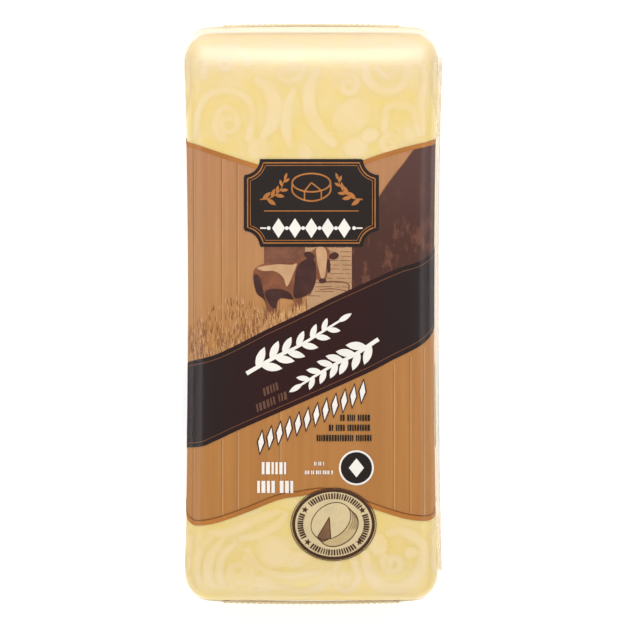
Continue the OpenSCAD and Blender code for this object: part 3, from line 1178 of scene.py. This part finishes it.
def foot_scrolls():
    """Pale pen strokes over the cheese at the foot end."""
    strokes = [
        (spiral((-18.9, -67.6), 3.8, 1.6, 80, -1), 1.1),
        (curve([(-25.4, -57.4), (-29.2, -62), (-30.4, -67), (-29.2, -71.4)]), swelling(1.7)),
        (curve([(-22.8, -58.6), (-26.2, -63), (-27.2, -68), (-25.6, -72.4)]), swelling(1.9)),
        (curve([(-19.6, -60), (-23, -63), (-24.2, -67.6), (-22.6, -72)]), swelling(1.3)),
        (curve([(-31.2, -57.6), (-32.4, -63), (-32.8, -69)]), swelling(1.4)),
        (curve([(-27.6, -57.6), (-21.6, -57.2), (-15.4, -54.4), (-8, -51.4)]), swelling(1.7, 0.4)),
        (curve([(-19, -58.8), (-13.6, -58), (-8.4, -54.8), (-6.4, -51.8)]), swelling(1.5, 0.4)),
        (curve([(-17.2, -61.4), (-13.6, -66.4), (-6.8, -68.8), (2.2, -67.6)]), 1.1),
        (curve([(-15.2, -73), (-9, -71.6), (-3.2, -73), (2.4, -71.6), (4.6, -66.8)]), 1.2),
        (curve([
            (9.2, -60.8), (6.6, -66), (5.8, -69.8), (9, -73), (12.2, -69.8), (11.6, -66), (9.2, -60.8),
        ]), 1.0),
        (spiral((9, -69.4), 1.5, 1.1, 90, 1), 0.8),
        (curve([
            (14, -62), (15, -67.6), (19.2, -71.8), (25, -71.4), (28.8, -66.4), (29.6, -60),
        ]), swelling(2.8, 0.4)),
        (spiral((21.6, -65.4), 3.0, 1.3, 130, 1), 1.1),
        (curve([(19.4, -57.6), (24.2, -57.2), (28.4, -59.6), (30.6, -64)]), swelling(1.9, 0.4)),
        (curve([(31.6, -57), (32.8, -62), (32.4, -68)]), swelling(1.4)),
    ]
    lobes = [
        ellipse((-9.8, -62.4), 3.8, 3.3, -20),
        ellipse((-3.2, -64.2), 3.2, 1.8, 15),
        ellipse((-12.4, -70.4), 2.2, 1.7),
        ellipse((17.4, -60.4), 2.0, 2.4, 20),
        ellipse((26.2, -62.6), 1.6, 1.2),
    ]
    return strokes, lobes


def side_scrolls(hand, end):
    """Strokes that go on round a long edge; hand is 1 at the right and end is 1 at the head."""
    def on_side(points):
        return [(hand * s, end * v) for s, v in points]
    strokes = [
        (on_side(spiral((38.6, 64.4), 3.2, 1.5, 120, 1)), 1.0),
        (on_side(curve([(33.6, 68.6), (33.2, 60), (35.4, 54.4), (40, 53)])), swelling(1.8, 0.4)),
        (on_side(curve([(43.6, 69.4), (43.4, 62), (40.6, 57.4), (37, 57.6)])), swelling(1.6, 0.4)),
        (on_side(curve([(46.2, 54), (47.6, 60), (46.8, 66.4), (48.4, 71)])), swelling(1.8, 0.4)),
    ]
    lobes = [np.array(on_side(ellipse((43.2, 54.6), 1.6, 2.0, 20)))]
    return strokes, lobes


def make_scrolls():
    """Each stroke is laid twice, broad and faint under narrow and pale, so that its edge is soft."""
    cores, halos = [], []
    sources = [head_scrolls(), foot_scrolls()]
    sources += [side_scrolls(hand, end) for hand in (1, -1) for end in (1, -1)]
    for strokes, lobes in sources:
        for line, width in strokes:
            cores += ribbon(line, width)
            halos += ribbon(line, widened(width, 1.1))
        for lobe in lobes:
            middle = lobe.mean(0)
            cores.append(lobe)
            halos.append(middle + (lobe - middle) * 1.28)
    print_piece("scroll_print", cores, SCROLL_DEPTH, scroll_ink, skin=cheese_skin)
    print_piece("scroll_halo", halos, HALO_DEPTH, scroll_halo_ink, skin=cheese_skin)


make_fields()
make_borders()
make_boards()
make_barn()
make_cow()
make_grass()
make_plaque()
make_title()
make_small_print()
make_caption()
make_seal()
make_stamp()
make_scrolls()

# ---------------------------------------------------------------- seams

SIDE_SEAM_THICKNESS = 0.5
SEAM_ROOT = 0.3
RIB_PITCH = 1.5
RIB_HEIGHT = 0.2
END_FACE_REACH = float(FILM.half_width(BODY_HALF_LENGTH)) - SIDE_SWELL - CORNER_RADIUS


def end_face(x):
    """How far along the pack its end face is, at a distance x from the middle."""
    bulge = END_SWELL * (1 - min(1.0, abs(x) / END_FACE_REACH) ** 2)
    past = max(0.0, abs(x) - END_FACE_REACH)
    return BODY_HALF_LENGTH + bulge - CORNER_RADIUS + math.sqrt(CORNER_RADIUS ** 2 - past ** 2)


def lofted(name, sections, material):
    """A closed piece through a row of sections with as many points each."""
    size = len(sections[0])
    last = (len(sections) - 1) * size
    faces = [tuple(reversed(range(size))), tuple(last + i for i in range(size))]
    for row in range(len(sections) - 1):
        low = row * size
        for i in range(size):
            j = (i + 1) % size
            faces.append((low + i, low + j, low + size + j, low + size + i))
    return make_piece(name, np.concatenate(sections), faces, material)


def side_seam_section(y, inner, outer, half_thickness, ripple):
    """A section of the side seam between two distances from the side of the pack."""
    x = CENTRE_X + float(FILM.half_width(y))
    z = SIDE_SEAM_HEIGHT + ripple
    slope = half_thickness / 2
    corners = [
        (x + inner, z + half_thickness), (x + outer - slope, z + half_thickness), (x + outer, z),
        (x + outer - slope, z - half_thickness), (x + inner, z - half_thickness),
    ]
    return np.array([(a, y, b) for a, b in corners])


def make_side_seam():
    """The long welded seam, slightly wavy, with a thin trimmed edge."""
    reach = PACK_LENGTH / 2 - SIDE_SEAM_MARGIN
    chance = random.Random(5)
    seam, edge = [], []
    ripple, drift = 0.0, 0.0
    for y in np.linspace(-reach, reach, 170):
        ripple = 0.8 * ripple + chance.uniform(-0.02, 0.02)
        drift = 0.85 * drift + chance.uniform(-0.02, 0.02)
        outer = SIDE_SEAM_WIDTH - 0.06 + drift
        seam.append(side_seam_section(y, -SEAM_ROOT, outer - 0.1, SIDE_SEAM_THICKNESS / 2.5, ripple))
        edge.append(side_seam_section(y, outer - 0.1, outer, SIDE_SEAM_THICKNESS / 2.2, ripple))
    lofted("side_seam", seam, seam_film)
    lofted("side_seam_edge", edge, seam_edge_film)


def make_end_seam(name, end):
    """A welded seam folded flat on the end face, with crimp ribs along it."""
    low, high = END_SEAM_HEIGHT - END_SEAM_FLAP, END_SEAM_HEIGHT
    sections = []
    for x in np.linspace(-END_SEAM_WIDTH / 2, END_SEAM_WIDTH / 2, 231):
        inner = end_face(x) - 0.05
        rib = RIB_HEIGHT * (1 + math.cos(2 * math.pi * x / RIB_PITCH)) / 2
        outer = end_face(x) + END_SEAM_THICKNESS - RIB_HEIGHT - 0.05 + rib
        corners = [
            (inner, low), (outer - 0.2, low), (outer - 0.05, low + 0.3), (outer, low + 0.9),
            (outer, high - 0.9), (outer, high - 0.3), (outer - 0.15, high), (inner, high),
        ]
        section = np.array([(CENTRE_X + x, end * a, b) for a, b in corners])
        sections.append(section if end < 0 else section[::-1])
    lofted(name, sections, crimp_film)


def make_tuck(name, end, hand):
    """A corner of film folded in under the end seam, running to a point on the rounded corner."""
    middle = END_SEAM_HEIGHT - END_SEAM_FLAP / 2
    start, stop = END_SEAM_WIDTH / 2 - 1.5, END_FACE_REACH + 4.2
    sections = []
    for share in np.linspace(0, 1, 24):
        x = start + (stop - start) * share
        half = 0.15 + (END_SEAM_FLAP / 2 - 0.45) * (1 - share)
        inner, outer = end_face(x) - 0.06, end_face(x) + 0.2 * (1 - share) + 0.03
        corners = [
            (inner, middle - half), (outer - 0.02, middle - half), (outer + 0.08 * (1 - share), middle),
            (outer - 0.02, middle + half), (inner, middle + half),
        ]
        section = np.array([(CENTRE_X + hand * x, end * a, b) for a, b in corners])
        sections.append(section if end * hand < 0 else section[::-1])
    lofted(name, sections, crimp_film)


make_side_seam()
for end, where in ((1, "head"), (-1, "foot")):
    make_end_seam(f"end_seam_{where}", end)
    for hand, side in ((1, "right"), (-1, "left")):
        make_tuck(f"tuck_{where}_{side}", end, hand)

# ---------------------------------------------------------------- stage, light and camera

VIEW_WIDTH = 0.1645
LENS = 200.0
SENSOR = 36.0
VIEW_SHIFT_X = 0.33


def make_area_light(name, energy, size, place, target=(0, 0, 0.01)):
    light = bpy.data.lights.new(name, "AREA")
    light.shape = "RECTANGLE"
    light.size, light.size_y = size
    light.energy = energy
    lamp = bpy.data.objects.new(name, light)
    lamp.location = place
    lamp.rotation_euler = (Vector(target) - Vector(place)).to_track_quat("-Z", "Y").to_euler()
    bpy.context.scene.collection.objects.link(lamp)


def make_floor():
    recipe = Recipe("floor_paper")
    grain = recipe.noise(40.0, 2.0)
    shade = recipe.blend(grain, (0.86, 0.86, 0.86, 1), (0.88, 0.88, 0.88, 1))
    paper = recipe.surface(recipe.principled(
        Base_Color=shade, Roughness=0.9, Emission_Color=(1, 1, 1, 1), Emission_Strength=0.45,
    ))
    mesh = bpy.data.meshes.new("floor")
    reach = 3.0
    corners = [(-reach, -reach, 0), (reach, -reach, 0), (reach, reach, 0), (-reach, reach, 0)]
    mesh.from_pydata(corners, [], [(0, 1, 2, 3)])
    mesh.materials.append(paper)
    floor = bpy.data.objects.new("floor", mesh)
    bpy.context.scene.collection.objects.link(floor)


def make_world():
    """A light tent: bright all round, less so to the left and right, and dim straight overhead."""
    recipe = Recipe("light_tent", world=True)
    direction = recipe.node("ShaderNodeTexCoord", output="Generated")
    height = recipe.node("ShaderNodeSeparateXYZ", inputs={0: direction}, output="Z")
    glow = recipe.ramp(height, [
        (0.0, (0.4, 0.4, 0.4, 1)),
        (0.3, (0.65, 0.65, 0.65, 1)),
        (0.5, (1.0, 1.0, 1.0, 1)),
        (0.8, (1.0, 1.0, 1.0, 1)),
        (0.88, (0.4, 0.4, 0.4, 1)),
        (0.94, (0.06, 0.06, 0.06, 1)),
        (0.98, (0.01, 0.01, 0.01, 1)),
    ])
    across = recipe.node("ShaderNodeSeparateXYZ", inputs={0: direction}, output="X")
    sideways = recipe.mask(across * across, 0.1, 0.6)
    shaded = recipe.blend(sideways, (1, 1, 1, 1), (0.42, 0.42, 0.42, 1))
    glow = recipe.blend(1.0, glow, shaded, "MULTIPLY")
    background = recipe.node("ShaderNodeBackground", inputs={"Color": glow, "Strength": 1.57})
    recipe.node("ShaderNodeOutputWorld", inputs={"Surface": background})
    bpy.context.scene.world = recipe.owner


def make_camera():
    camera = bpy.data.cameras.new("camera")
    camera.lens = LENS
    camera.sensor_width = SENSOR
    holder = bpy.data.objects.new("camera", camera)
    holder.location = (VIEW_SHIFT_X * MM, 0, PACK_THICKNESS * MM / 2 + VIEW_WIDTH * LENS / SENSOR)
    bpy.context.scene.collection.objects.link(holder)
    bpy.context.scene.camera = holder


make_floor()
make_world()
make_camera()
make_area_light("head_softbox", 1.4, (0.36, 0.24), (0, 0.36, 0.58))
bpy.context.scene.view_settings.view_transform = "Standard"
